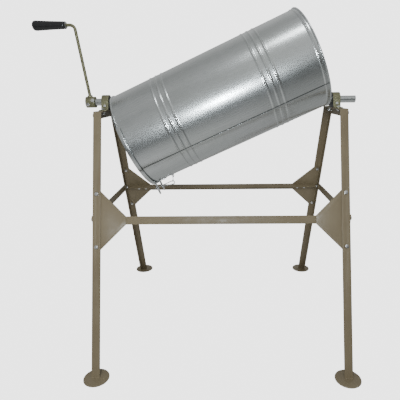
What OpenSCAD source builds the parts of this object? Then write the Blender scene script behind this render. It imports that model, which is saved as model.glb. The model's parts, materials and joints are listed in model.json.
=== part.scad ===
// Compost tumbler: a galvanised drum set across a turning shaft, carried on a
// bolted angle-iron stand and turned by a crank. Millimetres, +Z up.
// The left end carries the crank and the drum's lid, the right end its base.

/* [Stand] */
// Width over the outer faces of the left and right legs
stand_w = 934; // [700:1:1200]
// Distance from the middle to a leg's outer face, at the floor
foot_y = 450; // [300:1:600]
// Distance from the middle to a leg's outer face, at the leg's top
top_y = 122; // [110:1:200]
// Height of the leg tops
leg_h = 915; // [780:1:1200]
// Height of the middle of the rails
rail_z = 537; // [300:1:600]

/* [Steel sections] */
// Width of each angle-iron flange and of the flat bars
flange = 30; // [25:1:38]
// Thickness of the angle iron, the flat bars and the plates
steel_t = 3; // [2:0.5:4]
// Radius of a foot disc
foot_r = 46; // [36:1:60]
// Thickness of a foot disc
foot_t = 5; // [3:0.5:8]
// Half the height of a corner gusset beside the leg
gusset_half = 108; // [90:1:130]
// Reach of a corner gusset from the leg's outer face
gusset_reach = 122; // [100:1:150]
// Distance of the gusset bolts above and below the rail
gusset_bolt = 97; // [70:1:100]

/* [Bearings] */
// Height of the shaft above the cross member that carries it
shaft_rise = 30; // [28:1:45]
// Width of a bearing along the shaft
bearing_w = 28; // [20:1:30]
// Outer radius of a bearing block around the shaft
block_r = 24; // [20:1:27]
// Lean of the strap's sides from upright
strap_lean = 20; // [10:1:25]
// Distance from the shaft to each strap bolt
strap_bolt_y = 56; // [52:1:80]

/* [Shaft and crank] */
// Outer diameter of the shaft tube
shaft_d = 26.9; // [21.3:0.1:33.7]
// Wall of the shaft tube
shaft_wall = 2.6; // [2:0.1:4]
// Reach of the shaft past the right leg's outer face
shaft_stub = 59; // [40:1:90]
// Diameter of the cross hole in the free end of the shaft
pin_hole_d = 8; // [5:0.5:10]
// Crank radius, from the shaft to the grip
crank_r = 279; // [200:1:340]
// Diameter of the crank rod
rod_d = 12; // [10:0.5:16]
// Lean of the crank rod away from the drum
rod_lean = 7; // [0:0.5:12]
// Radius of the crank rod's bend, at its middle
rod_bend = 19; // [15:1:30]
// Diameter of the crank boss
boss_d = 42; // [38:1:50]
// Length of the crank boss
boss_l = 36; // [30:1:50]
// Gap between the left leg's outer face and the crank boss
boss_gap = 25; // [18:1:40]
// Length of the grip
grip_l = 125; // [90:1:150]
// Grip diameter at its inner end
grip_d1 = 27; // [24:0.5:32]
// Grip diameter at its outer end
grip_d2 = 36; // [30:0.5:42]

/* [Drum] */
// Outer diameter of the drum
drum_d = 372; // [320:1:400]
// Length of the drum
drum_l = 748; // [620:1:780]
// Thickness of the drum's sheet
sheet = 1.2; // [0.8:0.1:2]
// Distance from the drum's wall to the middle of the shaft, at each end of the drum
shaft_inset = 21.8; // [20:0.1:40]
// Turn of the drum about the shaft, away from the crank's plane
drum_turn = -3; // [-10:1:10]
// Depth of the recess at the base end
base_recess = 14; // [8:1:20]
// Radius of the wire bead at each rim
bead_r = 3; // [2:0.5:4]
// Distance of the first stiffening swage of each group from the drum's middle
swage_at = 165; // [100:1:200]
// Spacing of the stiffening swages
swage_step = 22.5; // [15:0.5:40]

/* [Lid and latch] */
// Distance of the lid's hinge from the drum's wall
hinge_inset = 68; // [61:1:86]
// Depth of the lid's rolled skirt
skirt = 14; // [8:1:20]
// Gap between the skirt and the rim
skirt_gap = 1.5; // [1:0.1:3]
// Distance of each hinge from the middle
hinge_y = 70; // [50:1:85]
// Distance of the hitch clip from the drum's surface
clip_off = 24; // [18:1:30]
// Wire diameter of the hitch clip
clip_d = 3.5; // [2.5:0.1:4]
// Travel that frees the hitch clip from the lid's ear
clip_travel = 25; // [20:1:30]

/* [Hidden] */
$fn = 64;

olive = [0.50, 0.46, 0.36];
zinc = [0.72, 0.74, 0.76];
gold_zinc = [0.47, 0.46, 0.33];
black = [0.05, 0.05, 0.06];
eps = 0.01;

// fasteners
bolt_r = 4;
bolt_play = 0.3;
head_h = 5;
bolt_tail = 4;
head_r = 7.5;
screw_r = 3;
rivet_r = 3;
hole_r = bolt_r + bolt_play;

// stand
heel_x = stand_w / 2;
splay = atan((foot_y - top_y) / leg_h);
rail_d = rail_z / cos(splay);
cross_z = leg_h - flange / 2;
bolt_inset = flange / 2;
function heel_y(z) = foot_y - z * tan(splay);
function flange_mid_y(z) = heel_y(z) - flange / 2 / cos(splay);

// shaft and bearings
shaft_r = shaft_d / 2;
run_clear = 0.05;
shaft_z = leg_h + shaft_rise;
bearing_x = heel_x - steel_t - flange / 2;
shaft_right = heel_x + shaft_stub;
boss_x = -heel_x - boss_gap - boss_l / 2;
shaft_left = boss_x - boss_l / 2 + 4;
pin_hole_x = shaft_right - 16;

// crank
rod_r = rod_d / 2;
lean_h = crank_r - rod_bend * (1 - sin(rod_lean));
bend_x = boss_x - lean_h * tan(rod_lean) - rod_bend * cos(rod_lean);
grip_gap = 4;
grip_in = bend_x - 15;
grip_out = grip_in - grip_l;
rod_end = grip_out + 20;
cap_l = 6;

// the object's box is centred on the origin, with the crank counted in
stand_x = -(grip_out + shaft_right) / 2;

// drum, in its own frame: +Z runs from the lid to the base, +X towards the latch
drum_r = drum_d / 2;
inner_r = drum_r - sheet;
half_l = drum_l / 2;
drum_tilt = atan((drum_r - shaft_inset) / half_l);
wall_gap = 0.4;
rim_r = drum_r + 1;
base_z = half_l - base_recess;
plate_t = 1.5;
plate_z = -half_l + 2;
flange_t = 3;
collar_r = 22;
collar_l = 26;
collar_x = (half_l - base_recess) / cos(drum_tilt) - collar_l / 2 - 8;
flange_half = 45;
flange_edge = sqrt(pow(inner_r - wall_gap, 2) - pow(flange_half, 2));
shaft_hole_r = shaft_r + 0.8;
seam_angle = -53.5;
seam_w = 9;
seam_h = 1;

// lid and its hinges
lid_gap = 0.5;
lid_in = -half_l - bead_r - lid_gap;
lid_out = lid_in - sheet;
hinge_z = lid_out - 3.8;
hinge_x = hinge_inset - drum_r;
leaf_t = 1.5;
leaf_l = 28;
knuckle_r = 3.4;
knuckle_l = 12;
hinge_pin_r = 2;
lid_edge = hinge_x + 6;
skirt_from = hinge_x + 58;
skirt_r = rim_r + bead_r + skirt_gap;
open_x = hinge_x + 18;

// latch
ear_t = 3;
ear_w = 24;
ear_tip = drum_r + 55;
keeper_tip = drum_r + 46;
keeper_z = -half_l + skirt;
clip_x = drum_r + clip_off;
clip_r = clip_d / 2;
clip_hole = clip_r + 0.55;
clip_tip = lid_out - ear_t - 10;
loop_r = 7;
loop_z = -half_l + 62;
link_r = 1;
link_half = 5;
eye_x = drum_r + 6;
eye_z = loop_z + clip_travel / 2;
link_l = 26.5;
link_rest = atan((clip_travel / 2) / (clip_x + loop_r - eye_x));

// ---------------------------------------------------------------- places

module at_stand() translate([stand_x, 0, 0]) children();

module at_shaft() at_stand() translate([0, 0, shaft_z]) children();

module at_drum_turn() at_shaft() rotate([drum_turn, 0, 0]) children();

module at_drum() at_drum_turn() rotate([0, 90 - drum_tilt, 0]) children();

// children are drawn for the front left corner and turned to the one asked for
module at_corner(right, back) {
  at_stand()
    mirror([right ? 1 : 0, 0, 0])
      mirror([0, back ? 1 : 0, 0])
        children();
}

// the leaning plane of a front left leg: X along the rail, Z up the leg
module leg_plane() translate([-heel_x, -foot_y, 0]) rotate([-splay, 0, 0]) children();

// a plate outline given in X and Z, with Y from y0 to y0 + t
module plate_y(y0, t) translate([0, y0 + t, 0]) rotate([90, 0, 0]) linear_extrude(t) children();

module along_y(r, y0, y1) translate([0, y0, 0]) rotate([-90, 0, 0]) cylinder(r = r, h = y1 - y0);

module along_x(r, x0, x1) translate([x0, 0, 0]) rotate([0, 90, 0]) cylinder(r = r, h = x1 - x0);

module angle_section(w, t) polygon([[0, 0], [w, 0], [w, t], [t, t], [t, w], [0, w]]);

// hex bolt from z = 0 (under the head) down through a grip of g, with its nut
module hex_bolt(g, r = bolt_r, head = head_r) {
  cylinder(r = head, h = head_h, $fn = 6);
  translate([0, 0, -g - head_h - bolt_tail]) cylinder(r = r, h = g + head_h + bolt_tail + eps);
  translate([0, 0, -g - head_h]) cylinder(r = head, h = head_h, $fn = 6);
}

// ---------------------------------------------------------------- stand

module leg_holes() {
  leg_plane()
    for (dz = [-gusset_bolt, gusset_bolt])
      translate([bolt_inset, 0, rail_d + dz]) along_y(hole_r, -5, steel_t + 5);
  translate([-heel_x, -flange_mid_y(rail_z), rail_z]) along_x(hole_r, -5, steel_t + 5);
  translate([-heel_x, -flange_mid_y(cross_z), cross_z]) along_x(hole_r, -5, steel_t + 5);
}

module leg(right, back) {
  color(olive) at_corner(right, back) difference() {
    intersection() {
      leg_plane()
        translate([0, 0, -flange])
          linear_extrude(leg_h / cos(splay) + 3 * flange)
            angle_section(flange, steel_t);
      translate([-heel_x - flange, -2 * foot_y, foot_t])
        cube([3 * flange, 2 * foot_y, leg_h - foot_t]);
    }
    leg_holes();
  }
}

module foot(right, back) {
  color(olive) at_corner(right, back)
    translate([-heel_x + flange / 2 + 2, -foot_y + 5, 0])
      rotate_extrude($fn = 72) difference() {
        square([foot_r, foot_t]);
        translate([foot_r, foot_t]) circle(r = 1.2, $fn = 24);
      }
}

module gusset(right, back) {
  slope_x = flange - 2;
  half_tip = flange / 2;
  color(olive) at_corner(right, back) leg_plane() difference() {
    plate_y(steel_t, steel_t) translate([0, rail_d]) polygon([
      [steel_t + 1, -gusset_half], [slope_x, -gusset_half],
      [gusset_reach, -half_tip], [gusset_reach, half_tip],
      [slope_x, gusset_half], [steel_t + 1, gusset_half]
    ]);
    for (dz = [-gusset_bolt, gusset_bolt])
      translate([bolt_inset, 0, rail_d + dz]) along_y(hole_r, 0, 3 * steel_t);
    if (back) rail_bolt_places() along_y(hole_r, 0, 4 * steel_t);
  }
}

module rail_bolt_places()
  for (x = [gusset_reach - 56, gusset_reach - 23])
    translate([x, 0, rail_d - 2]) children();

module long_rail(back) {
  start = 2 * steel_t + head_h + bolt_tail;
  color(olive) at_corner(false, back) leg_plane() difference() {
    translate([start, 2 * steel_t, rail_d + flange / 2])
      rotate([0, 90, 0])
        linear_extrude(stand_w - 2 * start)
          angle_section(flange, steel_t);
    if (back) {
      rail_bolt_places() along_y(hole_r, 0, 4 * steel_t);
      translate([stand_w, 0, 0]) mirror([1, 0, 0]) rail_bolt_places() along_y(hole_r, 0, 4 * steel_t);
    }
  }
}

module side_rail(right) {
  end_y = heel_y(rail_z) - 4;
  color(olive) at_corner(right, false) difference() {
    translate([-heel_x - steel_t, -end_y, rail_z - flange / 2]) cube([steel_t, 2 * end_y, flange]);
    for (s = [-1, 1])
      translate([-heel_x, s * flange_mid_y(rail_z), rail_z]) along_x(hole_r, -2 * steel_t, steel_t);
  }
}

module gusset_bolts() {
  color(zinc) for (right = [false, true], back = [false, true])
    at_corner(right, back) leg_plane()
      for (dz = [-gusset_bolt, gusset_bolt])
        translate([bolt_inset, 0, rail_d + dz]) rotate([90, 0, 0]) hex_bolt(2 * steel_t);
}

module back_rail_bolts() {
  color(zinc) for (right = [false, true])
    at_corner(right, true) leg_plane() rail_bolt_places()
      translate([0, steel_t, 0]) rotate([90, 0, 0]) hex_bolt(2 * steel_t, screw_r, 6);
}

module side_rail_bolts() {
  color(zinc) for (right = [false, true], back = [false, true])
    at_corner(right, back)
      translate([-heel_x - steel_t, -flange_mid_y(rail_z), rail_z])
        rotate([0, -90, 0]) hex_bolt(2 * steel_t);
}

module cross_member(right) {
  end_y = top_y - steel_t / cos(splay) - 0.8;
  color(olive) at_corner(right, false) difference() {
    translate([-heel_x + steel_t, -end_y, leg_h])
      rotate([-90, 0, 0])
        linear_extrude(2 * end_y)
          angle_section(flange, steel_t);
    for (s = [-1, 1]) {
      translate([-heel_x, s * flange_mid_y(cross_z), cross_z]) along_x(hole_r, 0, 4 * steel_t);
      translate([-bearing_x, s * strap_bolt_y, leg_h - 2 * steel_t]) cylinder(r = hole_r, h = 4 * steel_t);
    }
  }
}

module cross_member_bolts() {
  color(zinc) for (right = [false, true], back = [false, true])
    at_corner(right, back)
      translate([-heel_x, -flange_mid_y(cross_z), cross_z])
        rotate([0, -90, 0]) hex_bolt(2 * steel_t);
}

// ---------------------------------------------------------------- bearings

module bearing_frame(right) {
  at_corner(right, false)
    translate([-bearing_x, 0, shaft_z])
      rotate([90, 0, 90])
        children();
}

module bearing_block(right) {
  color(black) bearing_frame(right)
    translate([0, 0, -bearing_w / 2])
      linear_extrude(bearing_w) difference() {
        union() {
          circle(r = block_r);
          translate([-block_r, -shaft_rise]) square([2 * block_r, shaft_rise]);
        }
        circle(r = shaft_r + run_clear);
      }
}

// half width of the strap at a depth below the shaft, for a strap face of radius r
function strap_y(r, depth) = r + depth * tan(strap_lean);

module strap_skirt(r, depth)
  polygon([[-r, 0], [r, 0], [strap_y(r, depth), -depth], [-strap_y(r, depth), -depth]]);

module bearing_strap(right) {
  outer = block_r + steel_t;
  foot_out = strap_bolt_y + 12;
  color(gold_zinc) difference() {
    bearing_frame(right) translate([0, 0, -bearing_w / 2]) difference() {
      union() {
        cylinder(r = outer, h = bearing_w);
        linear_extrude(bearing_w) strap_skirt(outer, shaft_rise);
        translate([-foot_out, -shaft_rise, 0]) cube([2 * foot_out, steel_t, bearing_w]);
      }
      translate([0, 0, -1]) {
        cylinder(r = block_r, h = bearing_w + 2);
        linear_extrude(bearing_w + 2) strap_skirt(block_r, shaft_rise + 1);
      }
    }
    at_corner(right, false) {
      for (s = [-1, 1])
        translate([-bearing_x, s * strap_bolt_y, leg_h - 5]) cylinder(r = hole_r, h = 20);
      strap_screw_place() cylinder(r = screw_r + bolt_play, h = 12, center = true);
    }
  }
}

// square to the strap's leaning front face, a little below the shaft
module strap_screw_place() {
  drop = 14;
  translate([-bearing_x, -strap_y(block_r + steel_t, drop), shaft_z - drop])
    rotate([90 - strap_lean, 0, 0])
      children();
}

module strap_bolts() {
  color(zinc) for (right = [false, true], s = [-1, 1])
    at_corner(right, false)
      translate([-bearing_x, s * strap_bolt_y, leg_h + steel_t]) hex_bolt(2 * steel_t);
}

module strap_screws() {
  color(zinc) for (right = [false, true])
    at_corner(right, false) strap_screw_place() {
      cylinder(r = 5, h = 3);
      translate([0, 0, -steel_t - 1]) cylinder(r = screw_r, h = steel_t + 1 + eps);
    }
}

// ---------------------------------------------------------------- shaft and drum

module shaft() {
  color(zinc) at_shaft() difference() {
    along_x(shaft_r, shaft_left, shaft_right);
    along_x(shaft_r - shaft_wall, shaft_left - 1, shaft_right + 1);
    translate([pin_hole_x, 0, 0]) along_y(pin_hole_d / 2, -shaft_d, shaft_d);
    rotate([drum_turn, 0, 0])
      for (s = [-1, 1]) translate([s * collar_x, 0, 0]) along_y(hole_r, -shaft_d, shaft_d);
  }
}

module shaft_bore(r) rotate([0, drum_tilt - 90, 0]) along_x(r, -drum_l, drum_l);

module drum_shell() {
  color(zinc) at_drum() {
    rotate_extrude($fn = 128) {
      translate([inner_r, -half_l]) square([sheet, drum_l]);
      for (s = [-1, 1]) translate([rim_r, s * half_l]) circle(r = bead_r, $fn = 24);
      translate([drum_r - eps, half_l - base_recess]) square([1.5, 5]);
      for (s = [-1, 1], i = [0:2])
        translate([drum_r - 0.6, s * (swage_at + i * swage_step)]) circle(r = 2.4, $fn = 24);
    }
    rotate([0, 0, seam_angle])
      translate([drum_r - sheet / 2, -seam_w / 2, -half_l + skirt + 4])
        cube([sheet / 2 + seam_h, seam_w, drum_l - skirt - base_recess - 8]);
  }
}

module drum_base() {
  color(zinc) at_drum() difference() {
    rotate_extrude($fn = 128) {
      translate([0, base_z - plate_t]) square([inner_r, plate_t]);
      translate([inner_r - sheet, base_z - eps]) square([sheet, base_recess - 2]);
    }
    shaft_bore(shaft_hole_r);
  }
}

module end_plate() {
  color(zinc) at_drum() difference() {
    intersection() {
      translate([0, 0, plate_z]) cylinder(r = inner_r, h = plate_t, $fn = 128);
      translate([-drum_r, -drum_r, plate_z - 1]) cube([drum_r + open_x, drum_d, 4]);
    }
    shaft_bore(shaft_hole_r);
  }
}

// collar on the shaft, welded to a plate that backs the drum's end from inside
module shaft_flange(base_end) {
  z_face = base_end ? base_z - plate_t : -plate_z - plate_t;
  x_mid = z_face * tan(drum_tilt);
  color(zinc) at_drum() rotate([0, base_end ? 0 : 180, 0]) difference() {
    union() {
      translate([x_mid - 38, -flange_half, z_face - flange_t])
        cube([38 + flange, 2 * flange_half, flange_t]);
      intersection() {
        rotate([0, drum_tilt - 90, 0])
          along_x(collar_r, collar_x - collar_l / 2, z_face / cos(drum_tilt) + collar_r);
        translate([-drum_r, -drum_r, 0]) cube([drum_d, drum_d, z_face]);
      }
    }
    translate([flange_edge, -drum_r, 0]) cube([drum_r, drum_d, drum_l]);
    shaft_bore(shaft_r);
    rotate([0, drum_tilt - 90, 0]) translate([collar_x, 0, 0]) along_y(hole_r, -50, 50);
  }
}

module flange_bolts() {
  color(zinc) at_drum_turn() for (s = [-1, 1])
    translate([s * collar_x, -collar_r, 0]) rotate([90, 0, 0]) hex_bolt(2 * collar_r);
}

// ---------------------------------------------------------------- lid and latch

module at_hinge_line() translate([hinge_x, 0, hinge_z]) children();

module hinge_knuckle(y0, y1) difference() {
  along_y(knuckle_r, y0, y1);
  along_y(hinge_pin_r + run_clear, y0 - 1, y1 + 1);
}

module hinge_spots() for (s = [-1, 1]) translate([0, s * hinge_y, 0]) children();

module fixed_hinge_leaves() {
  half = 1.5 * knuckle_l;
  color(zinc) at_drum() at_hinge_line() hinge_spots() {
    for (y0 = [-half, knuckle_l / 2 + 0.4]) hinge_knuckle(y0, y0 + knuckle_l - 0.4);
    difference() {
      union() {
        translate([-leaf_l, -half, knuckle_r - leaf_t]) cube([leaf_l, 2 * half, leaf_t]);
        translate([-leaf_l, -half, knuckle_r - eps])
          cube([leaf_l - 8, 2 * half, plate_z - hinge_z - knuckle_r + eps]);
      }
      translate([-knuckle_r - 1, -knuckle_l / 2, -knuckle_r - 1])
        cube([knuckle_r + 3, knuckle_l, 2 * knuckle_r + 2]);
      along_y(hinge_pin_r + run_clear, -half - 1, half + 1);
    }
  }
}

module hinge_pins() {
  half = 1.5 * knuckle_l;
  color(zinc) at_drum() at_hinge_line() hinge_spots() {
    along_y(hinge_pin_r, -half - 1, half + 1);
    along_y(knuckle_r - 0.4, half, half + 2);
  }
}

module lid() {
  color(zinc) at_drum() difference() {
    intersection() {
      rotate_extrude($fn = 128) {
        translate([0, lid_out]) square([skirt_r + sheet, sheet]);
        translate([skirt_r, lid_out]) square([sheet, skirt]);
      }
      union() {
        translate([lid_edge, -drum_d, lid_out - 1]) cube([2 * drum_d, 2 * drum_d, sheet + 1 + eps]);
        translate([skirt_from, -drum_d, lid_out]) cube([2 * drum_d, 2 * drum_d, skirt + 1]);
      }
    }
    lid_rivet_holes();
  }
}

module ear_rivet_places() for (x = [drum_r - 52, drum_r - 28]) translate([x, 0, lid_out]) children();

module hinge_rivet_places()
  hinge_spots() for (y = [-10, 10]) translate([hinge_x + leaf_l - 8, y, lid_out]) children();

module lid_rivet_holes() {
  ear_rivet_places() cylinder(r = rivet_r, h = 12, center = true);
  hinge_rivet_places() cylinder(r = rivet_r, h = 12, center = true);
}

// a rivet through the lid and a plate of thickness t on its outer face
module lid_rivet(t) {
  translate([0, 0, sheet]) cylinder(r = rivet_r + 1.5, h = 1);
  translate([0, 0, -t - 0.5]) cylinder(r = rivet_r, h = t + sheet + 1);
  translate([0, 0, -t - 1.5]) cylinder(r = rivet_r + 2, h = 1.5);
}

module lid_hinge_leaves() {
  half = 1.5 * knuckle_l;
  color(zinc) at_drum() difference() {
    at_hinge_line() hinge_spots() {
      hinge_knuckle(-knuckle_l / 2 + 0.4, knuckle_l / 2 - 0.4);
      difference() {
        union() {
          translate([knuckle_r + 1, -half, lid_out - hinge_z - leaf_t])
            cube([leaf_l - knuckle_r - 1, 2 * half, leaf_t]);
          translate([0, -knuckle_l / 2 + 0.4, lid_out - hinge_z - leaf_t])
            cube([knuckle_r + 2, knuckle_l - 0.8, leaf_t]);
        }
        along_y(hinge_pin_r + run_clear, -half - 1, half + 1);
      }
    }
    lid_rivet_holes();
  }
}

module lid_ear() {
  color(zinc) at_drum() difference() {
    union() {
      translate([drum_r - 66, -ear_w / 2, lid_out - ear_t])
        cube([ear_tip - drum_r - ear_w / 2 + 66, ear_w, ear_t]);
      translate([ear_tip - ear_w / 2, 0, lid_out - ear_t]) cylinder(r = ear_w / 2, h = ear_t);
    }
    translate([clip_x, 0, lid_out - 2 * ear_t]) cylinder(r = clip_hole, h = 3 * ear_t);
    lid_rivet_holes();
  }
}

module lid_rivets() {
  color(zinc) at_drum() {
    ear_rivet_places() lid_rivet(ear_t);
    hinge_rivet_places() lid_rivet(leaf_t);
  }
}

module latch_keeper() {
  color(zinc) at_drum() difference() {
    union() {
      translate([drum_r - 2, -ear_w / 2, keeper_z])
        cube([keeper_tip - drum_r + 2 - ear_w / 2, ear_w, ear_t]);
      translate([keeper_tip - ear_w / 2, 0, keeper_z]) cylinder(r = ear_w / 2, h = ear_t);
      translate([drum_r - 2, -ear_w / 2, keeper_z]) cube([ear_t + 2, ear_w, 32]);
      translate([drum_r + ear_t - eps, 0, keeper_z + 20]) along_x(rivet_r + 2, 0, 2);
    }
    cylinder(r = drum_r, h = drum_l, center = true, $fn = 360);
    translate([clip_x, 0, keeper_z - ear_t]) cylinder(r = clip_hole, h = 3 * ear_t);
  }
}

// one leg is straight and passes through both ears, the other springs back beside it
module hitch_clip() {
  back_x = clip_x + 2 * loop_r;
  leg_end = keeper_z + ear_t + 8;
  pinch = [clip_x + 5.5, leg_end];
  lean = atan((back_x - pinch[0]) / (loop_z - pinch[1]));
  color(zinc) at_drum() {
    translate([clip_x, 0, clip_tip]) cylinder(r = clip_r, h = loop_z - clip_tip, $fn = 24);
    translate([clip_x + loop_r, 0, loop_z]) rotate([90, 0, 0])
      rotate_extrude(angle = 180, $fn = 48) translate([loop_r, 0]) circle(r = clip_r, $fn = 24);
    translate([pinch[0], 0, pinch[1]]) rotate([0, lean, 0])
      cylinder(r = clip_r, h = norm([back_x - pinch[0], loop_z - pinch[1]]), $fn = 24);
    translate([pinch[0], 0, pinch[1]]) rotate([0, 145, 0]) cylinder(r = clip_r, h = 7, $fn = 24);
    // a bend's ball is a little thicker than the wire
    for (bend = [[clip_x, loop_z], [back_x, loop_z], pinch])
      translate([bend[0], 0, bend[1]]) sphere(r = 1.04 * clip_r, $fn = 24);
  }
}

module tether_eye() {
  color(zinc) at_drum() difference() {
    union() {
      translate([drum_r - 1, -1, eye_z - 5]) cube([eye_x - drum_r + 1, 2, 10]);
      translate([eye_x, 0, eye_z]) along_y(5, -1, 1);
      translate([drum_r - 1, -6, eye_z - 8]) cube([2.2, 12, 16]);
    }
    cylinder(r = drum_r, h = drum_l, center = true, $fn = 360);
    translate([eye_x, 0, eye_z]) along_y(link_r + 1.3, -2, 2);
  }
}

// an oval wire link that hangs the clip from its eye
module tether_link() {
  color(zinc) at_drum() translate([eye_x, 0, eye_z]) rotate([0, 90 + link_rest, 0]) {
    for (s = [-1, 1]) translate([0, s * link_half, link_half])
      cylinder(r = link_r, h = link_l - 2 * link_half, $fn = 20);
    for (end = [0, 1])
      translate([0, 0, end == 0 ? link_half : link_l - link_half])
        rotate([0, end == 0 ? 90 : -90, 0])
          rotate([0, 0, -90])
            rotate_extrude(angle = 180, $fn = 40) translate([link_half, 0]) circle(r = link_r, $fn = 20);
  }
}

// ---------------------------------------------------------------- crank

module crank_boss() {
  color(gold_zinc) at_shaft() difference() {
    union() {
      along_x(boss_d / 2, boss_x - boss_l / 2, boss_x + boss_l / 2);
      translate([boss_x, 0, 0]) rotate([0, -rod_lean, 0]) cylinder(r = rod_r + 4, h = boss_d / 2 + 5);
    }
    along_x(shaft_r + run_clear, boss_x - boss_l / 2 + 4, boss_x + boss_l);
    translate([boss_x, 0, 0]) rotate([0, -rod_lean, 0]) cylinder(r = rod_r, h = boss_d);
    boss_screw_places() cylinder(r = hole_r, h = boss_d);
  }
}

// two set screws bear on the shaft, one above its middle line and one below it
module boss_screw_places()
  for (place = [[boss_l / 3, 18], [-boss_l / 5, -18]])
    translate([boss_x + place[0], 0, 0]) rotate([90 - place[1], 0, 0]) children();

module boss_screws() {
  color(zinc) at_shaft() boss_screw_places() {
    translate([0, 0, shaft_r]) cylinder(r = bolt_r, h = boss_d / 2 - shaft_r + 1);
    translate([0, 0, boss_d / 2]) cylinder(r = head_r, h = head_h, $fn = 6);
  }
}

module crank_rod() {
  foot_h = shaft_r + 1.5;
  top_h = lean_h / cos(rod_lean);
  color(gold_zinc) at_shaft() {
    translate([boss_x, 0, 0]) rotate([0, -rod_lean, 0])
      translate([0, 0, foot_h]) {
        cylinder(r = rod_r, h = top_h - foot_h);
        cylinder(r = rod_r / 2, h = top_h - foot_h + 1);
      }
    translate([bend_x, 0, crank_r - rod_bend]) rotate([90, 0, 0])
      rotate([0, 0, rod_lean])
        rotate_extrude(angle = 90 - rod_lean) translate([rod_bend, 0]) circle(r = rod_r, $fn = 48);
    translate([0, 0, crank_r]) along_x(rod_r, rod_end, bend_x);
    translate([0, 0, crank_r]) along_x(rod_r / 2, bend_x - 1, bend_x + 1);
  }
}

module grip_washer() {
  color(zinc) at_shaft() translate([0, 0, crank_r]) difference() {
    along_x(grip_d1 / 2 - 2, grip_in + 0.4, grip_in + 2);
    along_x(rod_r, grip_in - 1, grip_in + 3);
  }
}

module grip_retainer() {
  color(zinc) at_shaft() translate([0, 0, crank_r]) difference() {
    along_x(rod_r + 2.5, rod_end + 2, rod_end + 3.5);
    along_x(rod_r, rod_end, rod_end + 5);
  }
}

module grip_profile(l) {
  r1 = grip_d1 / 2;
  r2 = grip_d2 / 2;
  polygon([[0, 0], [r1 - 2, 0], [r1, 2], [r2, l - 14], [r2 - 1, l - 8], [r2 - 3, l - cap_l], [0, l - cap_l]]);
}

module grip() {
  color(black) at_shaft() translate([grip_in, 0, crank_r]) rotate([0, -90, 0]) difference() {
    rotate_extrude() grip_profile(grip_l);
    translate([0, 0, -1]) cylinder(r = rod_r + run_clear, h = grip_l);
    translate([0, 0, grip_in - rod_end - 6]) cylinder(r = rod_r + 3.5, h = grip_l);
  }
}

module grip_cap() {
  r2 = grip_d2 / 2;
  color(black) at_shaft() translate([grip_in, 0, crank_r]) rotate([0, -90, 0])
    translate([0, 0, grip_l - cap_l]) {
      rotate_extrude() polygon([[0, 0], [r2 - 3, 0], [r2 - 6, 4], [r2 - 10, 6], [0, 6]]);
      translate([0, 0, -6]) cylinder(r = rod_r + 3.4, h = 6 + eps);
    }
}

// ---------------------------------------------------------------- nodes

leg(false, false);  // leg_front_left
leg(true, false);  // leg_front_right
leg(false, true);  // leg_back_left
leg(true, true);  // leg_back_right
foot(false, false);  // foot_front_left
foot(true, false);  // foot_front_right
foot(false, true);  // foot_back_left
foot(true, true);  // foot_back_right
gusset(false, false);  // gusset_front_left
gusset(true, false);  // gusset_front_right
gusset(false, true);  // gusset_back_left
gusset(true, true);  // gusset_back_right
long_rail(false);  // front_rail
long_rail(true);  // back_rail
side_rail(false);  // left_rail
side_rail(true);  // right_rail
gusset_bolts();
back_rail_bolts();
side_rail_bolts();
cross_member(false);  // left_cross_member
cross_member(true);  // right_cross_member
cross_member_bolts();
bearing_block(false);  // left_bearing_block
bearing_block(true);  // right_bearing_block
bearing_strap(false);  // left_bearing_strap
bearing_strap(true);  // right_bearing_strap
strap_bolts();
strap_screws();
shaft();
drum_shell();
drum_base();
end_plate();
shaft_flange(false);  // left_shaft_flange
shaft_flange(true);  // right_shaft_flange
flange_bolts();
fixed_hinge_leaves();
hinge_pins();
latch_keeper();
tether_eye();
crank_boss();
boss_screws();
crank_rod();
grip_washer();
grip_retainer();
lid();
lid_hinge_leaves();
lid_ear();
lid_rivets();
grip();
grip_cap();
hitch_clip();
tether_link();
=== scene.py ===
# %% [markdown]
# # A compost tumbler in galvanised sheet and angle iron
# The drum lies slantwise across its shaft, so that each turn of the crank throws the compost from
# end to end. The sizes, the places and the joints are settled already and come in as a frame. What
# is made here is the look: soft edges, thin sheet, welds and finishes.

# %% Load the frame
import json
import math

import bpy
from mathutils import Matrix, Vector

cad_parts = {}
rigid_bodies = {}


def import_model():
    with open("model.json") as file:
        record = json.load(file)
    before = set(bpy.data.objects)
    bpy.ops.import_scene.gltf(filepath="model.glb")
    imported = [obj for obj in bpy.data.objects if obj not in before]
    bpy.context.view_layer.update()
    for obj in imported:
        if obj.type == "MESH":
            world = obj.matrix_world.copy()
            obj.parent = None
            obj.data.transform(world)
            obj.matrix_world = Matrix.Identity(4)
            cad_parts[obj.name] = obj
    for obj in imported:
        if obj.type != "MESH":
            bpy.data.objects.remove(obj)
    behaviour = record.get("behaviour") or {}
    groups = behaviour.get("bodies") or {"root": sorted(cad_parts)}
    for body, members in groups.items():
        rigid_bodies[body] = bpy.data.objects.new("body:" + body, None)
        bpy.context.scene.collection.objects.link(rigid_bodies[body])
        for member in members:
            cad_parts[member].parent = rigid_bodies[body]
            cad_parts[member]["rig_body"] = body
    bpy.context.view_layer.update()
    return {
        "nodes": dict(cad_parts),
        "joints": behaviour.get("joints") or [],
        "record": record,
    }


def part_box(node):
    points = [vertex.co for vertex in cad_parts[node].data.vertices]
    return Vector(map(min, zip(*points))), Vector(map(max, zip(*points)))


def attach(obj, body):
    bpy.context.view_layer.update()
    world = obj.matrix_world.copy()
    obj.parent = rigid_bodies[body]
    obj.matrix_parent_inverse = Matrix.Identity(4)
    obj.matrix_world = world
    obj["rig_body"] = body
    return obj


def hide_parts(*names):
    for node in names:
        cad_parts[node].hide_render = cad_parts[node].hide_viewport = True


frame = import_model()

bpy.ops.object.select_all(action="DESELECT")
print("pieces in the frame:", len(frame["nodes"]))

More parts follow.
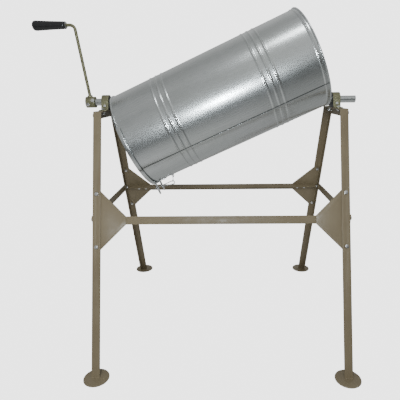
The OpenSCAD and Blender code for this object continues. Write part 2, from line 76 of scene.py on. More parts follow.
# %% [markdown]
# ## The drum's own axes
# The drum slants and is turned a little on its shaft, which is awkward to model in. So drum pieces
# are built upright at the world's origin and laid in place at the end by one matrix. Its columns are
# known from the joints: the clip slides along the drum's length, and the lid's hinge lies across it.

# %% Work out where the drum lies
MM = 0.001
joint_named = {joint["name"]: joint for joint in frame["joints"]}
along = Vector(joint_named["clip_slide"]["axis"]).normalized()
across = Vector(joint_named["lid_hinge"]["axis"]).normalized()
low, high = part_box("drum_shell")
DRUM = Matrix((across.cross(along), across, along)).transposed().to_4x4()
DRUM.translation = (low + high) / 2
print("drum's middle:", [round(v, 4) for v in DRUM.translation])

# %% [markdown]
# ## Camera
# The camera stands in front, a little above the shaft, and looks down at the whole stand. The small
# shift keeps the framing without turning the camera.

# %% Set up the camera
CAMERA_AT = Vector((0.1019, -1.5813, 0.9904))
CAMERA_LENS = 34.77
CAMERA_SHIFT = (-0.0382, 0.0297)
YAW, PITCH, ROLL = 0.02464, -0.30887, 0.01333
bpy.ops.object.camera_add(location=CAMERA_AT)
camera = bpy.context.object
aim = Matrix.Rotation(YAW, 4, "Z") @ Matrix.Rotation(math.pi / 2 + PITCH, 4, "X")
camera.rotation_euler = (aim @ Matrix.Rotation(-ROLL, 4, "Z")).to_euler()
camera.data.lens = CAMERA_LENS
camera.data.shift_x, camera.data.shift_y = CAMERA_SHIFT
camera.data.clip_start = 0.01
bpy.context.scene.camera = camera
print("camera height:", round(CAMERA_AT.z, 3))

# %% [markdown]
# ## A bench for finishes
# Every finish here starts from the same few moves: noise in the piece's own coordinates, a ramp that
# turns it into colours or roughness, and a bump. Written once as small methods, they keep each finish
# to a few lines that say what the real surface does.


# %% Finish helpers
def rgba(colour):
    """The four numbers that a colour socket takes, from three or from one grey."""
    return (*colour, 1) if isinstance(colour, tuple) else (colour, colour, colour, 1)


class Finish:
    """A material with its main shader and short ways to add nodes to it."""

    def __init__(self, name, metallic, roughness, specular=0.5):
        self.material = bpy.data.materials.new(name)
        self.material.use_nodes = True
        self.tree = self.material.node_tree
        self.shader = self.tree.nodes["Principled BSDF"]
        self.shader.inputs["Metallic"].default_value = metallic
        self.shader.inputs["Roughness"].default_value = roughness
        self.shader.inputs["Specular IOR Level"].default_value = specular
        self.place = self.tree.nodes.new("ShaderNodeTexCoord").outputs["Object"]

    def node(self, kind, inputs, **settings):
        """Adds a node. An input is linked if it is a socket, and typed in if it is a number."""
        made = self.tree.nodes.new(kind)
        for key, value in settings.items():
            setattr(made, key, value)
        for key, value in inputs.items():
            if isinstance(value, bpy.types.NodeSocket):
                self.tree.links.new(value, made.inputs[key])
            else:
                made.inputs[key].default_value = value
        return made

    def lay_along(self, matrix):
        """Reads the pattern in the axes of that matrix."""
        back = matrix.inverted()
        inputs = {"Vector": self.place, "Location": back.translation, "Rotation": back.to_euler()}
        self.place = self.node("ShaderNodeMapping", inputs).outputs["Vector"]

    def stretched(self, x, y, z):
        """The place, squeezed by that much along each axis."""
        inputs = {"Vector": self.place, "Scale": (x, y, z)}
        return self.node("ShaderNodeMapping", inputs).outputs["Vector"]

    def noise(self, scale, detail=3, rough=0.5, vector=None):
        inputs = {"Vector": vector or self.place, "Scale": scale, "Detail": detail, "Roughness": rough}
        return self.node("ShaderNodeTexNoise", inputs).outputs["Fac"]

    def crystals(self, scale):
        """Cells of one flat tone each."""
        inputs = {"Vector": self.place, "Scale": scale}
        return self.node("ShaderNodeTexVoronoi", inputs).outputs["Color"]

    def math(self, operation, a, b=0.0, c=0.0):
        inputs = {0: a, 1: b, 2: c}
        return self.node("ShaderNodeMath", inputs, operation=operation).outputs[0]

    def ramp(self, value, *stops):
        """Turns a value into colours. Each stop is a value and its colour."""
        made = self.node("ShaderNodeValToRGB", {"Fac": value})
        points = made.color_ramp.elements
        while len(points) < len(stops):
            points.new(1.0)
        for point, (position, colour) in zip(points, stops):
            point.position = position
            point.color = rgba(colour)
        return made.outputs["Color"]

    def mix(self, amount, a, b, blend="MIX"):
        """Mixes two colours. On a Mix node for colours these are sockets 0, 6 and 7."""
        a, b = (rgba(side) if isinstance(side, tuple) else side for side in (a, b))
        inputs = {0: amount, 6: a, 7: b}
        return self.node("ShaderNodeMix", inputs, data_type="RGBA", blend_type=blend).outputs[2]

    def bump(self, height, strength, distance, below=None):
        """Raises the surface by a height, on top of the bump below it if there is one."""
        inputs = {"Height": height, "Strength": strength, "Distance": distance}
        if below:
            inputs["Normal"] = below
        return self.node("ShaderNodeBump", inputs).outputs["Normal"]

    def feed(self, **sockets):
        """Links values into the main shader, so that base_color feeds Base Color."""
        for key, value in sockets.items():
            self.tree.links.new(value, self.shader.inputs[key.replace("_", " ").title()])


print("moves:", ", ".join(name for name in vars(Finish) if not name.startswith("_")))

# %% [markdown]
# ## Studio
# The room is plain white, and one soft lamp stands by the camera, so that the near legs are a little
# lighter than the far ones. What the camera sees of the room is brighter than what lights the piece,
# as when a white sweep has its own lamps. The floor is that sweep: it is only seen, and lights
# nothing.

# %% Light the room
ROOM_LIGHT = 0.45
SWEEP_LIGHT = 3.2
world = bpy.data.worlds.new("white room")
bpy.context.scene.world = world
world.use_nodes = True
room = world.node_tree
room_shade = room.nodes["Background"]
room_shade.inputs["Color"].default_value = (1, 1, 1, 1)
room_shade.inputs["Strength"].default_value = ROOM_LIGHT
sweep_shade = room.nodes.new("ShaderNodeBackground")
sweep_shade.inputs["Color"].default_value = (1, 1, 1, 1)
sweep_shade.inputs["Strength"].default_value = SWEEP_LIGHT
seen = room.nodes.new("ShaderNodeLightPath")
either = room.nodes.new("ShaderNodeMixShader")
room.links.new(seen.outputs["Is Camera Ray"], either.inputs[0])
room.links.new(room_shade.outputs[0], either.inputs[1])
room.links.new(sweep_shade.outputs[0], either.inputs[2])
room.links.new(either.outputs[0], room.nodes["World Output"].inputs["Surface"])
print("room light:", ROOM_LIGHT, "and as the camera sees it:", SWEEP_LIGHT)

# %% [markdown]
# Nothing of the studio belongs to the piece. It throws no shadow, and each part says whether
# the camera or the mirror-like finishes see it.


# %% Lay the floor
def staged(piece, name, finish, camera=False, glossy=False):
    """Names a thing of the studio, gives it its finish, and says which rays meet it."""
    piece.name = name
    piece.data.materials.append(finish.material)
    piece.visible_camera = camera
    piece.visible_glossy = glossy
    piece.visible_diffuse = False
    piece.visible_shadow = False
    piece.visible_transmission = False


def glowing(name, colour, strength):
    """A finish that gives light and reflects none."""
    glow = Finish(name, metallic=0.0, roughness=0.9, specular=0.0)
    glow.shader.inputs["Base Color"].default_value = (0, 0, 0, 1)
    glow.shader.inputs["Emission Color"].default_value = (*colour, 1)
    glow.shader.inputs["Emission Strength"].default_value = strength
    return glow


FLOOR_SIZE = 200
bpy.ops.mesh.primitive_plane_add(size=FLOOR_SIZE, location=(0, 0, 0))
staged(bpy.context.object, "floor", glowing("pale floor", (1, 1, 1), SWEEP_LIGHT), camera=True)
print("floor:", FLOOR_SIZE, "m across")

# %% Add the soft lamp
LAMP_AT, LAMP_AIM = (-0.2, -2.0, 1.5), Vector((0, 0, 0.6))
bpy.ops.object.light_add(type="AREA", location=LAMP_AT)
lamp = bpy.context.object
lamp.data.energy = 34
lamp.data.size = 0.9
lamp.visible_glossy = False
lamp.rotation_euler = (LAMP_AIM - lamp.location).to_track_quat("-Z", "Y").to_euler()
print("lamp energy:", lamp.data.energy)

# %% [markdown]
# ## What the zinc mirrors
# Bare zinc shows little colour of its own: what the eye reads is what it mirrors. A plain white room
# would make the drum a white tube. So a dome that only mirrors see is set round it, turned with the
# drum, and shaded in soft bands from a grey ceiling down to a dark front edge and a pale floor. Each
# band is an angle round the drum, counted from its top towards the front, with one brightness for the
# lid's end and one for the base's.

# %% Shade the mirrored room
BANDS = [
    (-90, 0.50, 0.60), (-50, 0.57, 0.70), (-18, 0.36, 0.43), (15, 0.50, 0.55), (42, 0.42, 0.60),
    (66, 0.50, 0.70), (86, 0.38, 0.50), (101, 0.14, 0.11), (114, 0.12, 0.10), (123, 0.38, 0.16),
    (143, 0.64, 0.30), (170, 0.62, 0.36), (205, 0.46, 0.40), (240, 0.45, 0.40), (270, 0.50, 0.60),
]
DOME_R = 8.0
COOL = (0.985, 1.0, 1.0)
LID_SHARE, BASE_SHARE = -0.12, 0.2
bpy.ops.mesh.primitive_uv_sphere_add(segments=48, ring_count=24, radius=DOME_R)
dome = bpy.context.object
dome.matrix_world = DRUM
room_glow = glowing("mirrored room", (1, 1, 1), 1.0)
parts = room_glow.node("ShaderNodeSeparateXYZ", {"Vector": room_glow.place}).outputs
# the drum's top is its own -X and its front its -Y, so the round joins itself at the back
frontwards = room_glow.math("MULTIPLY", parts["Y"], -1.0)
round_drum = room_glow.math("ARCTAN2", parts["X"], frontwards)
round_share = room_glow.math("MULTIPLY_ADD", round_drum, 1 / (2 * math.pi), 0.5)
ends = []
for column in (1, 2):
    stops = []
    for band in BANDS:
        shade = tuple(band[column] * tint for tint in COOL)
        stops.append(((band[0] + 90) / 360, shade))
    ends.append(room_glow.ramp(round_share, *stops))
along_share = room_glow.math("DIVIDE", parts["Z"], DOME_R)
span = {"Value": along_share, "From Min": LID_SHARE, "From Max": BASE_SHARE}
towards_base = room_glow.node("ShaderNodeMapRange", span).outputs["Result"]
room_glow.feed(emission_color=room_glow.mix(towards_base, *ends))
room_glow.material.cycles.emission_sampling = "NONE"
staged(dome, "mirrored_room_dome", room_glow, glossy=True)
print("bands in the mirrored room:", len(BANDS))

# %% [markdown]
# Two small bright cards give the zinc its sparkle: a flash just above the camera, which draws the
# long highlight along the middle, and a window's worth of light high up beyond the base end.


# %% Add the two cards
def card(name, width, height, at, colour, strength):
    """A bright card that only reflections see, facing the drum."""
    bpy.ops.mesh.primitive_plane_add(size=1, location=at)
    piece = bpy.context.object
    piece.scale = (width, height, 1)
    piece.rotation_euler = (DRUM.translation - at).to_track_quat("Z", "Y").to_euler()
    staged(piece, name, glowing(name, colour, strength), glossy=True)


def towards(angle, along_drum, distance):
    """A place at that angle round the drum, that share along it and that distance from it."""
    round_it = math.sqrt(1 - along_drum ** 2)
    top, front = math.cos(math.radians(angle)), math.sin(math.radians(angle))
    return DRUM @ (Vector((-top * round_it, -front * round_it, along_drum)) * distance)


flash_at, window_at = CAMERA_AT + Vector((0, -0.12, 0.06)), towards(27, 0.36, 3.0)
card("flash_card", 0.16, 0.1, flash_at, (0.86, 0.94, 1.0), 260)
card("window_card", 0.7, 0.4, window_at, (0.93, 0.97, 1.0), 16)
print("window card at:", [round(v, 2) for v in window_at])

# %% [markdown]
# ## Stand paint
# The stand is brushed with an olive-brown enamel. Such paint is a little uneven in tone, shows the
# mill's fine grain under it, and collects faint dust and scuffs. A slow noise makes the tone, a fine
# one the orange peel, and a thresholded one the few scuffs that show a lighter, duller paint.


# %% Mix the stand paint
def stand_paint():
    thick, thin, scuffed = (0.150, 0.122, 0.074), (0.185, 0.156, 0.098), (0.27, 0.24, 0.17)
    paint = Finish("stand_paint", metallic=0.0, roughness=0.45, specular=0.4)
    tone = paint.ramp(paint.noise(7, 4), (0.3, thick), (0.7, thin))
    scuffs = paint.ramp(paint.noise(60, 6, 0.7), (0.62, 0.0), (0.74, 0.35))
    paint.feed(base_color=paint.mix(scuffs, tone, scuffed))
    dull = paint.ramp(paint.noise(25, 5), (0.3, 0.36), (0.75, 0.58))
    paint.feed(roughness=dull)
    peel = paint.bump(paint.noise(900, 2), 0.18, 0.0004)
    paint.feed(normal=paint.bump(paint.noise(45, 3), 0.12, 0.0012, peel))
    return paint.material


finishes = {"stand_paint": stand_paint()}
print("nodes in the paint:", len(finishes["stand_paint"].node_tree.nodes))

# %% [markdown]
# ## Galvanised sheet
# Hot-dip zinc freezes in flat crystals, the spangle, each a slightly different grey. Rolling leaves
# the sheet wavy along its length, which pulls every reflection into long streaks. So cells of one
# tone each make the spangle, noise stretched along the drum makes the streaks, and a slow bump makes
# the waves. The pattern lies in the drum's own axes. The lap seam also draws a thin shadow down the
# wall. It is an angle round the drum, so the flat ends, which share the finish, are left out of it by
# their radius.

# %% Make the galvanised finish
SEAM_ANGLE = math.radians(-53.5)
SHADOW_ANGLE = SEAM_ANGLE - 0.03
SHADOW_HALF_WIDTH = 0.009
WALL_FROM = 184.6 * MM


def seam_shadow(zinc, colour):
    """Draws the seam's shadow over a colour, on the drum's wall alone."""
    parts = zinc.node("ShaderNodeSeparateXYZ", {"Vector": zinc.place}).outputs
    angle = zinc.math("ARCTAN2", parts["Y"], parts["X"])
    beside = zinc.math("ABSOLUTE", zinc.math("SUBTRACT", angle, SHADOW_ANGLE))
    in_line = zinc.math("LESS_THAN", beside, SHADOW_HALF_WIDTH)
    x_squared = zinc.math("MULTIPLY", parts["X"], parts["X"])
    y_squared = zinc.math("MULTIPLY", parts["Y"], parts["Y"])
    on_wall = zinc.math("GREATER_THAN", zinc.math("ADD", x_squared, y_squared), WALL_FROM ** 2)
    return zinc.mix(zinc.math("MULTIPLY", in_line, on_wall), colour, (0.16, 0.17, 0.17))


def galvanised(name, axes, dents, seam=False):
    """Bare zinc whose pattern lies in those axes, with waves of that depth in metres."""
    zinc = Finish(name, metallic=1.0, roughness=0.27)
    zinc.lay_along(axes)
    streaks = zinc.noise(1, 5, 0.6, zinc.stretched(75, 75, 7))
    cells = zinc.ramp(zinc.crystals(75), (0.0, 0.0), (1.0, 1.0))
    grey = zinc.ramp(streaks, (0.32, (0.59, 0.61, 0.61)), (0.68, (0.64, 0.66, 0.66)))
    colour = zinc.mix(0.05, grey, cells, "OVERLAY")
    cloud = zinc.ramp(zinc.noise(5, 4), (0.35, (0.94, 0.95, 0.93)), (0.65, (1.0, 1.0, 1.0)))
    colour = zinc.mix(1.0, colour, cloud, "MULTIPLY")
    zinc.feed(base_color=seam_shadow(zinc, colour) if seam else colour)
    fine = zinc.noise(1, 6, 0.7, zinc.stretched(260, 260, 30))
    zinc.feed(roughness=zinc.ramp(fine, (0.3, 0.23), (0.7, 0.31)))
    waves = zinc.bump(zinc.noise(1, 1, 0.4, zinc.stretched(9, 9, 2.2)), 1.0, dents)
    ripples = zinc.bump(zinc.noise(1, 3, 0.5, zinc.stretched(55, 55, 9)), 1.0, dents / 40, waves)
    zinc.feed(normal=zinc.bump(zinc.noise(260, 2), 0.5, dents / 200, ripples))
    return zinc.material


upright = Matrix.Identity(4)
finishes["galvanised_sheet"] = galvanised("galvanised_sheet", DRUM, 0.002, seam=True)
finishes["galvanised_tube"] = galvanised("galvanised_tube", upright, 0.0005)
print("finishes so far:", ", ".join(finishes))

# %% [markdown]
# ## Plated fittings, block and grip
# Bolts and wire are bright zinc. The straps, boss and crank are plated with yellow zinc, an olive
# gold that clouds unevenly. The grip is moulded in black plastic with a fine leather-like grain.


# %% Make the plated and moulded finishes
def plated(name, dark, light, roughness):
    plate = Finish(name, metallic=1.0, roughness=roughness)
    cloud = plate.ramp(plate.noise(30, 3, 0.5), (0.3, dark), (0.7, light))
    plate.feed(base_color=cloud)
    dull = plate.ramp(plate.noise(70, 3), (0.3, roughness - 0.06), (0.7, roughness + 0.08))
    plate.feed(roughness=dull)
    plate.feed(normal=plate.bump(plate.noise(700, 2), 0.1, 0.00006))
    return plate.material


def moulded(name, colour, roughness, grain):
    plastic = Finish(name, metallic=0.0, roughness=roughness, specular=0.5)
    worn = tuple(1.7 * part for part in colour)
    plastic.feed(base_color=plastic.ramp(plastic.noise(40, 4), (0.3, colour), (0.8, worn)))
    rubbed = plastic.ramp(plastic.noise(90, 3), (0.3, roughness), (0.7, roughness + 0.12))
    plastic.feed(roughness=rubbed)
    plastic.feed(normal=plastic.bump(plastic.crystals(grain), 0.2, 0.0003))
    return plastic.material


for name, dark, light, roughness in (
    ("zinc_fasteners", (0.55, 0.56, 0.55), (0.78, 0.78, 0.76), 0.3),
    ("zinc_hardware", (0.42, 0.43, 0.43), (0.66, 0.67, 0.66), 0.36),
    ("yellow_zinc", (0.25, 0.24, 0.15), (0.31, 0.3, 0.19), 0.62),
):
    finishes[name] = plated(name, dark, light, roughness)
finishes["bearing_black"] = moulded("bearing_black", (0.02, 0.02, 0.021), 0.5, 700)
finishes["grip_black"] = moulded("grip_black", (0.008, 0.008, 0.009), 0.28, 1100)
print("finishes:", ", ".join(finishes))

# %% [markdown]
# The frame says which finish each of its own pieces takes, so they are given it here. Pieces that are
# modelled below take theirs as each is finished.

# %% Give the frame's pieces their finishes
slot_of = {row["node"]: row["material_slot"] for row in frame["record"]["subparts"]}
for name, node in frame["nodes"].items():
    node.data.materials.clear()
    node.data.materials.append(finishes[slot_of[name]])
print("pieces in stand paint:", list(slot_of.values()).count("stand_paint"))

# %% [markdown]
# ## Working by hand in code
# An operator works on whatever is selected, so each helper selects one piece first. Faces and edges
# are then picked by where they are, as one would by eye.


# %% Select and shape
def take(piece):
    """Selects that piece alone."""
    if bpy.context.mode != "OBJECT":
        bpy.ops.object.mode_set(mode="OBJECT")
    bpy.ops.object.select_all(action="DESELECT")
    piece.select_set(True)
    bpy.context.view_layer.objects.active = piece


def pick_vertices(piece, test):
    """Selects the vertices that pass a test of their place, in edit mode."""
    bpy.ops.object.mode_set(mode="OBJECT")
    for group in (piece.data.polygons, piece.data.edges):
        for item in group:
            item.select = False
    for vertex in piece.data.vertices:
        vertex.select = test(vertex.co)
    bpy.ops.object.mode_set(mode="EDIT")
    bpy.ops.mesh.select_mode(type="VERT")


def apply(piece, kind, **settings):
    """Adds a modifier of that kind to a piece and applies it."""
    take(piece)
    modifier = piece.modifiers.new(kind.lower(), kind)
    for key, value in settings.items():
        setattr(modifier, key, value)
    bpy.ops.object.modifier_apply(modifier=modifier.name)


def lay(piece, matrix):
    """Lays a piece that was modelled upright, and puts its place in its mesh."""
    take(piece)
    piece.matrix_world = matrix @ piece.matrix_world
    bpy.ops.object.transform_apply(location=True, rotation=True, scale=True)


print("selected now:", len(bpy.context.selected_objects))

# %% [markdown]
# A finished piece is shaded smooth up to an angle, takes its finish, and rides the body it belongs to.
# A turned piece is built as on a lathe, from a list of rings.


# %% Finish and turn
def finish_piece(piece, slot, body, smooth=35, *nodes):
    """Gives a finished piece its finish and its body, and hides the nodes it stands for."""
    take(piece)
    bpy.ops.object.shade_smooth_by_angle(angle=math.radians(smooth))
    piece.data.materials.clear()
    piece.data.materials.append(finishes[slot])
    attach(piece, body)
    if nodes:
        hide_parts(*nodes)
    return piece


def turned(name, rings, sides, matrix=upright):
    """A turned piece: a disc extruded up ring by ring, where a ring is a height and a radius."""
    height, radius = rings[0]
    bpy.ops.mesh.primitive_circle_add(
        vertices=sides, radius=radius, fill_type="NGON", location=(0, 0, height)
    )
    piece = bpy.context.object
    piece.name = name
    bpy.ops.object.mode_set(mode="EDIT")
    bpy.ops.mesh.select_all(action="SELECT")
    for next_height, next_radius in rings[1:]:
        bpy.ops.mesh.extrude_region_move(
            TRANSFORM_OT_translate={"value": (0, 0, next_height - height)}
        )
        ratio = next_radius / radius
        bpy.ops.transform.resize(value=(ratio, ratio, 1))
        height, radius = next_height, next_radius
    bpy.ops.mesh.select_all(action="SELECT")
    bpy.ops.mesh.normals_make_consistent(inside=False)
    bpy.ops.object.mode_set(mode="OBJECT")
    lay(piece, matrix)
    return piece


# %% [markdown]
# ## Rolled, sawn and pressed edges
# Angle iron, plates and bolts have the right shape already, but knife-sharp edges catch no light and
# look false. Each is copied, its loose triangles are merged and dissolved into clean faces, and its
# edges are rounded by as much as the real process leaves: a millimetre on rolled steel, less on
# plate and wire.


# %% Round the edges of the frame's own pieces
def softened(node, width, segments=3):
    """Stands a copy with rounded edges in for a piece of the frame."""
    piece = bpy.data.objects.new(node + "_soft", frame["nodes"][node].data.copy())
    bpy.context.scene.collection.objects.link(piece)
    take(piece)
    bpy.ops.object.mode_set(mode="EDIT")
    bpy.ops.mesh.select_all(action="SELECT")
    bpy.ops.mesh.remove_doubles(threshold=0.00002)
    bpy.ops.mesh.dissolve_limited(angle_limit=math.radians(0.5))
    bpy.ops.object.mode_set(mode="OBJECT")
    apply(
        piece, "BEVEL", width=width, segments=segments, limit_method="ANGLE",
        angle_limit=math.radians(35), use_clamp_overlap=True,
    )
    body = frame["nodes"][node]["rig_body"]
    return finish_piece(piece, slot_of[node], body, 40, node)


ROLLED, PRESSED, PLATE, SMALL = 1.0 * MM, 0.8 * MM, 0.6 * MM, 0.45 * MM
EDGES = [
    (SMALL, ("_bolts", "_screws", "hinge_leaves", "latch_keeper", "lid_ear", "tether_eye")),
    (PRESSED, ("bearing_strap", "bearing_block", "shaft_flange", "crank_boss")),
    (PLATE, ("gusset_front_left", "gusset_front_right", "gusset_back_left", "gusset_back_right")),
    (ROLLED, ("_rail", "cross_member", "leg_front_left", "leg_front_right")),
    (ROLLED, ("leg_back_left", "leg_back_right")),
]
rounded = [(name, width) for name in slot_of for width, ends in EDGES if name.endswith(ends)]
for name, width in rounded:
    softened(name, width)
print("pieces with rounded edges:", len(rounded))

# %% [markdown]
# ## Drum shell
# The shell is one rolled sheet with its rims turned over a wire. It starts as an open cylinder.
# Bisect cuts it where each stiffening swage begins, peaks and ends, and the rings between are
# scaled out a little, as the swaging rollers push the sheet. The outermost ring on each side stays
# flat, or the smooth shading of the swage would spread over the long faces beside it. Solidify then
# gives the sheet its thickness.

# %% Model the shell upright
DRUM_R, HALF_L, SHEET = 186 * MM, 374 * MM, 1.2 * MM
SWAGES = [side * (165 + 22.5 * i) * MM for side in (-1, 1) for i in range(3)]
RIM_BEAD = HALF_L - 13 * MM
# a step along the drum from the middle, and how far the sheet is pushed out there, in millimetres
SWAGE_RINGS = [(-7, 0.0), (-4.5, 0.0), (-3.2, 0.5), (-1.6, 1.45), (0, 1.8)]
SWAGE_RINGS += [(-step, rise) for step, rise in reversed(SWAGE_RINGS[:-1])]
BEAD_RINGS = [(-6, 0), (-3, 0), (-1.5, 1.3), (0, 1.9), (1.5, 1.3), (3, 0), (6, 0)]
bpy.ops.mesh.primitive_cylinder_add(
    vertices=192, radius=DRUM_R, depth=2 * HALF_L, end_fill_type="NOTHING"
)
shell = bpy.context.object
shell.name = "drum_sheet"
rings = [(middle + step * MM, rise * MM) for middle in SWAGES for step, rise in SWAGE_RINGS]
rings += [(RIM_BEAD + step * MM, rise * MM) for step, rise in BEAD_RINGS]
bpy.ops.object.mode_set(mode="EDIT")
for height, rise in rings:
    bpy.ops.mesh.select_all(action="SELECT")
    bpy.ops.mesh.bisect(plane_co=(0, 0, height), plane_no=(0, 0, 1))
for height, rise in rings:
    if rise > 0:
        pick_vertices(shell, lambda co: abs(co.z - height) < 0.1 * MM)
        grow = (DRUM_R + rise) / DRUM_R
        bpy.ops.transform.resize(value=(grow, grow, 1), center_override=(0, 0, height))
bpy.ops.object.mode_set(mode="OBJECT")
apply(shell, "SOLIDIFY", thickness=SHEET, offset=-1)
print("shell faces:", len(shell.data.polygons))

# %% [markdown]
# The rims are the sheet's own edge rolled over a wire. A small ring is drawn across the sheet's edge
# and spun once round the drum's axis, which closes on itself when the last step is merged.


# %% Spin the two rims
def spun_ring(name, radius, wire, height, steps=192, sides=14):
    """A ring of round wire about the upright axis."""
    bpy.ops.mesh.primitive_circle_add(
        vertices=sides, radius=wire, location=(radius, 0, height), rotation=(math.pi / 2, 0, 0)
    )
    ring = bpy.context.object
    ring.name = name
    bpy.ops.object.transform_apply(location=True, rotation=True, scale=True)
    bpy.ops.object.mode_set(mode="EDIT")
    bpy.ops.mesh.select_all(action="SELECT")
    bpy.ops.mesh.spin(steps=steps, angle=2 * math.pi, center=(0, 0, 0), axis=(0, 0, 1))
    bpy.ops.mesh.select_all(action="SELECT")
    bpy.ops.mesh.remove_doubles(threshold=0.00001)
    bpy.ops.mesh.normals_make_consistent(inside=False)
    bpy.ops.object.mode_set(mode="OBJECT")
    return ring


RIM_PROUD, RIM_WIRE = 1 * MM, 3 * MM
rims = [spun_ring("rim", DRUM_R + RIM_PROUD, RIM_WIRE, side * HALF_L) for side in (-1, 1)]
print("points in a rim:", len(rims[0].data.vertices))

# %% [markdown]
# The lap seam is a strip along the drum, a millimetre proud, where the sheet's ends are folded into
# each other. It stops a little short of the rims. A bar with beveled edges is turned to its place
# round the drum.

# %% Add the seam and join the shell
SEAM_W, SEAM_H, SEAM_SHORT, SEAM_LOW = 9 * MM, 1 * MM, 40 * MM, 2 * MM
seam_at = (DRUM_R + (SEAM_H - SHEET) / 2, 0, -SEAM_LOW)
bpy.ops.mesh.primitive_cube_add(size=1, location=seam_at)
seam = bpy.context.object
seam.scale = (SEAM_H + SHEET, SEAM_W, 2 * HALF_L - SEAM_SHORT)
bpy.ops.object.transform_apply(location=True, rotation=True, scale=True)
apply(seam, "BEVEL", width=0.7 * MM, segments=3)
lay(seam, Matrix.Rotation(SEAM_ANGLE, 4, "Z"))
take(shell)
for piece in rims + [seam]:
    piece.select_set(True)
bpy.ops.object.join()
lay(shell, DRUM)
finish_piece(shell, "galvanised_sheet", "drum", 50, "drum_shell")
print("shell points:", len(shell.data.vertices))

# %% [markdown]
# ## Lid and ends
# The lid is a flat pressing with a short skirt over the rim. Its edges are rounded like the other
# plates, and a ring pressed into its face stiffens it, spun like the rims.

# %% Make the lid
SHEET_EDGE = 0.35 * MM
for name in ("lid", "drum_base", "end_plate"):
    softened(name, SHEET_EDGE, 2)
LID_GAP, LID_SHEET = 0.5 * MM, 1.2 * MM
lid_face = -(HALF_L + RIM_WIRE + LID_GAP + LID_SHEET)
RING_R, RING_WIRE, RING_SUNK, RING_OFFSET = 76 * MM, 2 * MM, 0.7 * MM, 14 * MM
stiffener = spun_ring("lid_stiffening_ring", RING_R, RING_WIRE, lid_face + RING_SUNK, 96, 12)
lay(stiffener, DRUM @ Matrix.Translation((RING_OFFSET, 0, 0)))
finish_piece(stiffener, "galvanised_sheet", "lid", 50)

# %% [markdown]
# ## Crank rod
# The rod is one bar bent cold. Its round section is drawn in the boss, extruded up the leaning leg,
# spun through the bend and extruded out through the grip, so the bar stays one smooth skin.

# %% Measure the rod's path
ROD_R, BEND_R, ROD_IN_BOSS = 6 * MM, 19 * MM, 15 * MM
LEAN = math.radians(7)
shaft_at = Vector(joint_named["drum_spin"]["pos_m"])
grip_axis = Vector(joint_named["grip_spin"]["pos_m"])
boss_low, boss_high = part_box("crank_boss")
boss_mid = Vector(((boss_low.x + boss_high.x) / 2, 0, shaft_at.z))
lean_rise = grip_axis.z - shaft_at.z - BEND_R * (1 - math.sin(LEAN))
rod_up = Vector((-math.sin(LEAN), 0, math.cos(LEAN)))
rod_foot = boss_mid + rod_up * ROD_IN_BOSS
leg_top = boss_mid + rod_up * lean_rise / math.cos(LEAN)
bend_centre = leg_top - Vector((math.cos(LEAN), 0, math.sin(LEAN))) * BEND_R
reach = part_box("crank_rod")[0].x - bend_centre.x
print("leaning leg:", round((leg_top - rod_foot).length, 4), "and out:", round(reach, 4))

# %% Bend the rod
bpy.ops.mesh.primitive_circle_add(
    vertices=32, radius=ROD_R, fill_type="NGON", location=rod_foot, rotation=(0, -LEAN, 0)
)
rod = bpy.context.object
rod.name = "crank_bar"
bpy.ops.object.transform_apply(location=True, rotation=True, scale=True)
bpy.ops.object.mode_set(mode="EDIT")
bpy.ops.mesh.select_all(action="SELECT")
bpy.ops.mesh.extrude_region_move(TRANSFORM_OT_translate={"value": leg_top - rod_foot})
bpy.ops.mesh.spin(steps=14, angle=math.pi / 2 - LEAN, center=bend_centre, axis=(0, 1, 0))
bpy.ops.mesh.extrude_region_move(TRANSFORM_OT_translate={"value": (reach, 0, 0)})
bpy.ops.mesh.select_all(action="SELECT")
bpy.ops.mesh.remove_doubles(threshold=0.00001)
bpy.ops.mesh.normals_make_consistent(inside=False)
bpy.ops.object.mode_set(mode="OBJECT")
finish_piece(rod, "yellow_zinc", "drum", 50, "crank_rod")
print("rod spans x:", round(min(v.co.x for v in rod.data.vertices), 4))

# %% [markdown]
# ## Grip
# The grip is moulded, fatter towards its outer end, with a short collar and a groove where the rod
# goes in. It is turned up from rings, as on a lathe: the collar, then sides that are a little hollow,
# then a rounded end. It stands for the grip and its cap together, so it takes the length of both.

# %% Turn the grip
grip_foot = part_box("grip")[1].x
grip_length = grip_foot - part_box("grip_cap")[0].x
COLLAR = [(0, 9.5), (0, 12.2), (0.8, 13.3), (4, 13.5), (5, 12.7), (6.5, 12.7), (7.5, 13.6)]
NOSE = [(114, 17.9), (118, 17.0), (121, 15.4), (123.4, 12.6), (124.7, 9), (125, 4)]
SIDE_L, SIDE_RINGS, TAPER, HOLLOW = 103, 18, 4.4, 0.3
foot_height, foot_radius = COLLAR[-1]
profile = list(COLLAR)
for i in range(1, SIDE_RINGS + 1):
    share = i / SIDE_RINGS
    side_radius = foot_radius + TAPER * share - HOLLOW * math.sin(math.pi * share)
    profile.append((foot_height + SIDE_L * share, side_radius))
profile += NOSE
stretch = grip_length / NOSE[-1][0]
profile = [(height * stretch, radius * MM) for height, radius in profile]
outwards = Matrix.Rotation(-math.pi / 2, 4, "Y")
to_grip = Matrix.Translation((grip_foot, 0, grip_axis.z)) @ outwards
grip = turned("grip_body", profile, 64, to_grip)
finish_piece(grip, "grip_black", "grip", 50, "grip", "grip_cap")
print("grip length:", round(grip_length, 4))

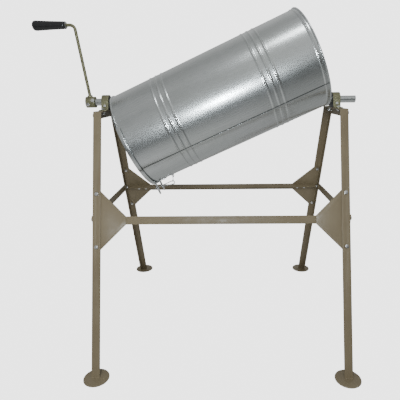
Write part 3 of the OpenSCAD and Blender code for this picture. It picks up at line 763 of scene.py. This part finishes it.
# %% [markdown]
# ## Feet and welds
# A foot is a pressed disc with a rounded rim, welded under the leg. A weld is a row of overlapping
# puddles, each a little larger or smaller than the last. Balls stand in for the puddles, and a voxel
# remesh melts them into one bead.


# %% Press the feet and lay the welds
WELD_R, WELD_STEP, WELD_UNEVEN = 2.4 * MM, 0.6, 0.12


def weld(name, start, end):
    """A bead of overlapping puddles from one point to another."""
    start, end = Vector(start), Vector(end)
    count = max(2, round((end - start).length / (WELD_R * WELD_STEP)))
    puddles = []
    for i in range(count + 1):
        size = WELD_R * (1 + WELD_UNEVEN * math.sin(2.3 * i))
        bpy.ops.mesh.primitive_ico_sphere_add(
            subdivisions=2, radius=size, location=start.lerp(end, i / count)
        )
        puddles.append(bpy.context.object)
    take(puddles[0])
    for piece in puddles:
        piece.select_set(True)
    bpy.ops.object.join()
    bead = bpy.context.object
    bead.name = name
    bpy.ops.object.transform_apply(location=True, rotation=True, scale=True)
    apply(bead, "REMESH", mode="VOXEL", voxel_size=WELD_R / 4)
    return finish_piece(bead, "stand_paint", "stand", 60)


def foot(corner):
    """Presses the foot disc of one corner, rounded below and above."""
    foot_low, foot_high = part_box(f"foot_{corner}")
    middle = (foot_low + foot_high) / 2
    radius, top = (foot_high.x - foot_low.x) / 2, foot_high.z
    under = [(0, 1.2), (0.5, 0.3), (1.4, 0)]
    over = [(2, 0), (0.7, 0.5), (0.2, 1.6), (0, 3.2)]
    profile = [(height * MM, radius - inset * MM) for height, inset in under]
    profile += [(top - depth * MM, radius - inset * MM) for depth, inset in over]
    profile.append((top, 4 * MM))
    disc = turned(f"foot_disc_{corner}", profile, 96, Matrix.Translation((middle.x, middle.y, 0)))
    finish_piece(disc, "stand_paint", "stand", 50, f"foot_{corner}")
    return top


for side in ("left", "right"):
    for end in ("front", "back"):
        corner = f"{end}_{side}"
        top = foot(corner)
        leg_low, leg_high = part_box(f"leg_{corner}")
        outer, inner = leg_high.x, leg_low.x
        if side == "left":
            outer, inner = inner, outer
        toe = leg_low.y if end == "front" else leg_high.y
        weld(f"toe_weld_{corner}", (outer, toe, top), (inner, toe, top))
print("feet pressed and welded:", sum(name.startswith("foot_") for name in slot_of))
